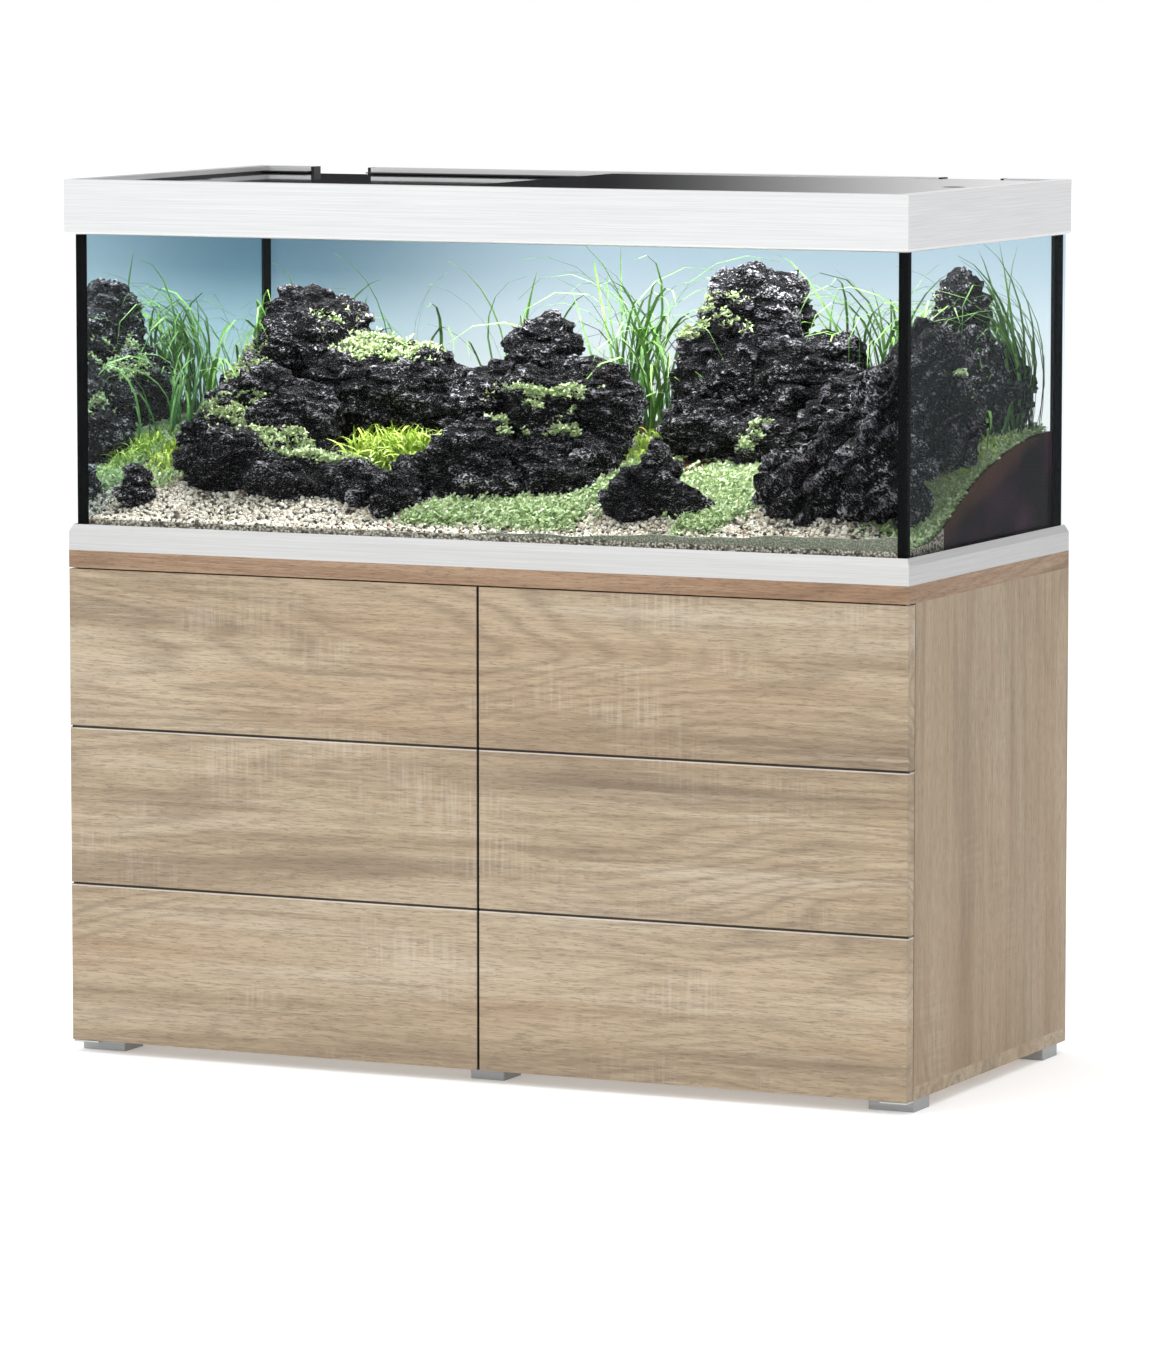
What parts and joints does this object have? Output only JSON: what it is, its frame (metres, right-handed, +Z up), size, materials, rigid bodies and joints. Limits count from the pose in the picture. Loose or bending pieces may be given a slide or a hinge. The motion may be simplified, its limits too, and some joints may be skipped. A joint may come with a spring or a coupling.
{
  "type": "aquarium on stand",
  "caption": "Glass aquarium with planted rock layout in a silver frame and open-topped hood with sliding covers, on a pale oak two-door cabinet with grooved fronts and low metal feet.",
  "frame": {"origin": "on the floor under the middle of the footprint", "axes": "+X along the length to the right, +Y from the doors to the back, +Z up"},
  "size_m": [1.3, 0.608, 1.257],
  "materials": {
    "oak_doors": "light oak decor with fine horizontal grain, satin",
    "oak_boards": "light oak decor with fine grain, satin",
    "back_board": "plain pale board",
    "foot_steel": "brushed",
    "fixing_steel": "plain zinc-plated",
    "latch_plastic": "matt light grey",
    "tank_glass": "clear polished",
    "black_silicone": "smooth black",
    "mat_foam": "closed-cell foam",
    "blue_film": "light blue fading to pale, satin",
    "aluminium": "fine lengthwise brushing",
    "black_plastic": "satin black",
    "cap_rubber": "soft black",
    "gloss_black": "polished black",
    "lamp_lens": "frosted white",
    "gravel": "coarse mixed river gravel",
    "soil": "dark brown granules",
    "lava_rock": "rough charcoal lava rock",
    "plant_green": "leafy green"
  },
  "bodies": {
    "aquarium": {"back_cover_track": "black_plastic", "back_feet": "foot_steel", "back_pane": "tank_glass", "background_film": "blue_film", "base_frame_back": "aluminium", "base_frame_front": "aluminium", "base_frame_left": "aluminium", "base_frame_right": "aluminium", "bottom_pane": "tank_glass", "bottom_panel": "oak_boards", "cabinet_screws": "fixing_steel", "centre_partition": "oak_boards", "centre_rocks": "lava_rock", "corner_silicone": "black_silicone", "cutout_end_caps": "cap_rubber", "front_cover_track": "black_plastic", "front_feet": "foot_steel", "front_pane": "tank_glass", "glass_braces": "tank_glass", "gravel_bed": "gravel", "hood_back_rail": "aluminium", "hood_corner_brackets": "fixing_steel", "hood_front_rail": "aluminium", "hood_left_rail": "aluminium", "hood_right_rail": "aluminium", "lamp_arms": "black_plastic", "lamp_bodies": "aluminium", "lamp_end_caps": "black_plastic", "lamp_lenses": "lamp_lens", "left_back_panel": "back_board", "left_latch_housing": "latch_plastic", "left_pane": "tank_glass", "left_rocks": "lava_rock", "left_side_panel": "oak_boards", "lower_pivot_brackets": "fixing_steel", "pivot_washers": "latch_plastic", "plants": "plant_green", "right_back_panel": "back_board", "right_latch_housing": "latch_plastic", "right_pane": "tank_glass", "right_rocks": "lava_rock", "right_side_panel": "oak_boards", "shelf": "oak_boards", "shelf_pins": "fixing_steel", "side_trims": "black_plastic", "soil_bed": "soil", "tank_mat": "mat_foam", "top_panel": "oak_boards", "upper_pivot_leaves": "fixing_steel"},
    "left_door": {"left_door": "oak_doors", "left_door_pivot_leaves": "fixing_steel", "left_strike_plate": "fixing_steel"},
    "right_door": {"right_door": "oak_doors", "right_door_pivot_leaves": "fixing_steel", "right_strike_plate": "fixing_steel"},
    "left_latch_plunger": {"left_latch_plunger": "latch_plastic"},
    "right_latch_plunger": {"right_latch_plunger": "latch_plastic"},
    "left_cover": {"left_cover": "gloss_black"},
    "right_cover": {"right_cover": "gloss_black"}
  },
  "joints": [
    {"name": "left_door_swing", "type": "hinge", "parent": "aquarium", "child": "left_door", "pos_m": [-0.644, -0.286, 0.35], "axis": [0, 0, -1], "range_deg": [0, 100]},
    {"name": "left_latch_press", "type": "slide", "parent": "aquarium", "child": "left_latch_plunger", "axis": [0, 1, 0], "range_m": [0, 0.003], "stiffness_N_per_m": 300},
    {"name": "left_cover_slide", "type": "slide", "parent": "aquarium", "child": "left_cover", "axis": [1, 0, 0], "range_m": [0, 0.54]},
    {"name": "right_door_swing", "type": "hinge", "parent": "aquarium", "child": "right_door", "pos_m": [0.644, -0.286, 0.35], "axis": [0, 0, 1], "range_deg": [0, 100]},
    {"name": "right_latch_press", "type": "slide", "parent": "aquarium", "child": "right_latch_plunger", "axis": [0, 1, 0], "range_m": [0, 0.003], "stiffness_N_per_m": 300},
    {"name": "right_cover_slide", "type": "slide", "parent": "aquarium", "child": "right_cover", "axis": [-1, 0, 0], "range_m": [0, 0.54]}
  ]
}
